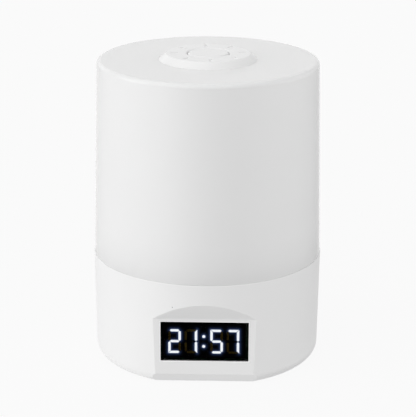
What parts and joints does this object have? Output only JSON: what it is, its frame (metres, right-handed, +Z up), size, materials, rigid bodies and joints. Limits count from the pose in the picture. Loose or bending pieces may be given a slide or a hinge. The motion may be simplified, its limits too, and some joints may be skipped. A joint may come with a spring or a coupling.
{
  "type": "bedside wake-up lamp with alarm clock",
  "caption": "Round bedside lamp with a milky light diffuser on a white clock base, a lit digital display, a press button in the top hub and small controls at the back.",
  "frame": {"origin": "centre of the resting plane, under the rubber feet, on the lamp's centre line", "axes": "+Z up along the centre line; the display faces -Y; +X to the right as seen from the front"},
  "size_m": [0.115, 0.115, 0.1551],
  "materials": {
    "housing_white": "satin moulded ABS",
    "rubber_grey": "soft grey rubber",
    "steel": "bright zinc plate",
    "cream_plastic": "cream nylon",
    "contact_brass": "plated spring brass",
    "board_green": "green solder mask",
    "black_plastic": "black moulded",
    "capacitor_blue": "dark blue sleeve",
    "cone_black": "doped paper",
    "magnet_grey": "ferrite and plated steel",
    "bezel_white": "bright white rim",
    "window_black": "smoked acrylic, glossy",
    "segment_lit": "glowing white",
    "segment_dark": "unlit, faint brown",
    "lead_grey": "grey vinyl",
    "button_white": "semi-gloss white",
    "plunger_grey": "grey nylon",
    "inner_white": "reflective white",
    "led_yellow": "phosphor-filled",
    "diffuser_milk": "milky, glossy",
    "hub_white": "semi-gloss white"
  },
  "bodies": {
    "clock_body": {"base_housing": "housing_white", "bottom_cover": "housing_white", "foot_1": "rubber_grey", "foot_2": "rubber_grey", "foot_3": "rubber_grey", "foot_4": "rubber_grey", "cover_screws": "steel", "battery_cell": "steel", "battery_holder": "cream_plastic", "battery_contact": "contact_brass", "main_board": "board_green", "main_board_screws": "steel", "control_chip": "black_plastic", "clock_crystal": "steel", "capacitors": "capacitor_blue", "board_sockets": "cream_plastic", "speaker_frame": "black_plastic", "speaker_cone": "cone_black", "speaker_magnet": "magnet_grey", "window_bezel": "bezel_white", "display_window": "window_black", "display_block": "black_plastic", "lit_segments": "segment_lit", "dark_segments": "segment_dark", "display_board": "board_green", "display_screws": "steel", "ribbon_leads": "lead_grey", "rear_board": "board_green", "rear_board_screws": "steel", "rear_switches": "black_plastic", "slide_switch": "steel", "power_inlet": "steel", "light_sensor": "black_plastic", "light_deck": "inner_white", "deck_screws": "steel", "column_screws": "steel", "led_board": "inner_white", "leds": "led_yellow", "led_board_screws": "steel", "diffuser": "diffuser_milk", "centre_column": "inner_white", "hub": "hub_white", "hub_screws": "steel", "button_board": "board_green", "button_lead": "lead_grey", "top_switch": "black_plastic"},
    "light_button": {"light_button": "hub_white", "top_plunger": "plunger_grey", "button_spring": "steel"},
    "alarm_slider": {"alarm_slider": "button_white"},
    "battery_door": {"battery_door": "housing_white"},
    "rear_button_1": {"rear_button_1": "button_white", "rear_plunger_1": "plunger_grey"},
    "rear_button_2": {"rear_button_2": "button_white", "rear_plunger_2": "plunger_grey"},
    "rear_button_3": {"rear_button_3": "button_white", "rear_plunger_3": "plunger_grey"},
    "rear_button_4": {"rear_button_4": "button_white", "rear_plunger_4": "plunger_grey"}
  },
  "joints": [
    {"name": "light_button_press", "type": "slide", "parent": "clock_body", "child": "light_button", "axis": [0, 0, -1], "range_m": [0, 0.0008], "stiffness_N_per_m": 1200, "springref_m": -0.0004, "deforming": ["button_spring"]},
    {"name": "rear_button_1_press", "type": "slide", "parent": "clock_body", "child": "rear_button_1", "axis": [0, -1, 0], "range_m": [0, 0.0004], "stiffness_N_per_m": 2500, "springref_m": -0.0002},
    {"name": "rear_button_2_press", "type": "slide", "parent": "clock_body", "child": "rear_button_2", "axis": [0, -1, 0], "range_m": [0, 0.0004], "stiffness_N_per_m": 2500, "springref_m": -0.0002},
    {"name": "rear_button_3_press", "type": "slide", "parent": "clock_body", "child": "rear_button_3", "axis": [0, -1, 0], "range_m": [0, 0.0004], "stiffness_N_per_m": 2500, "springref_m": -0.0002},
    {"name": "rear_button_4_press", "type": "slide", "parent": "clock_body", "child": "rear_button_4", "axis": [0, -1, 0], "range_m": [0, 0.0004], "stiffness_N_per_m": 2500, "springref_m": -0.0002},
    {"name": "alarm_slide", "type": "slide", "parent": "clock_body", "child": "alarm_slider", "axis": [1, 0, 0], "range_m": [0, 0.003]},
    {"name": "battery_door_turn", "type": "hinge", "parent": "clock_body", "child": "battery_door", "pos_m": [0.0215, 0, 0.0019], "axis": [0, 0, 1], "range_deg": [0, 45]}
  ]
}
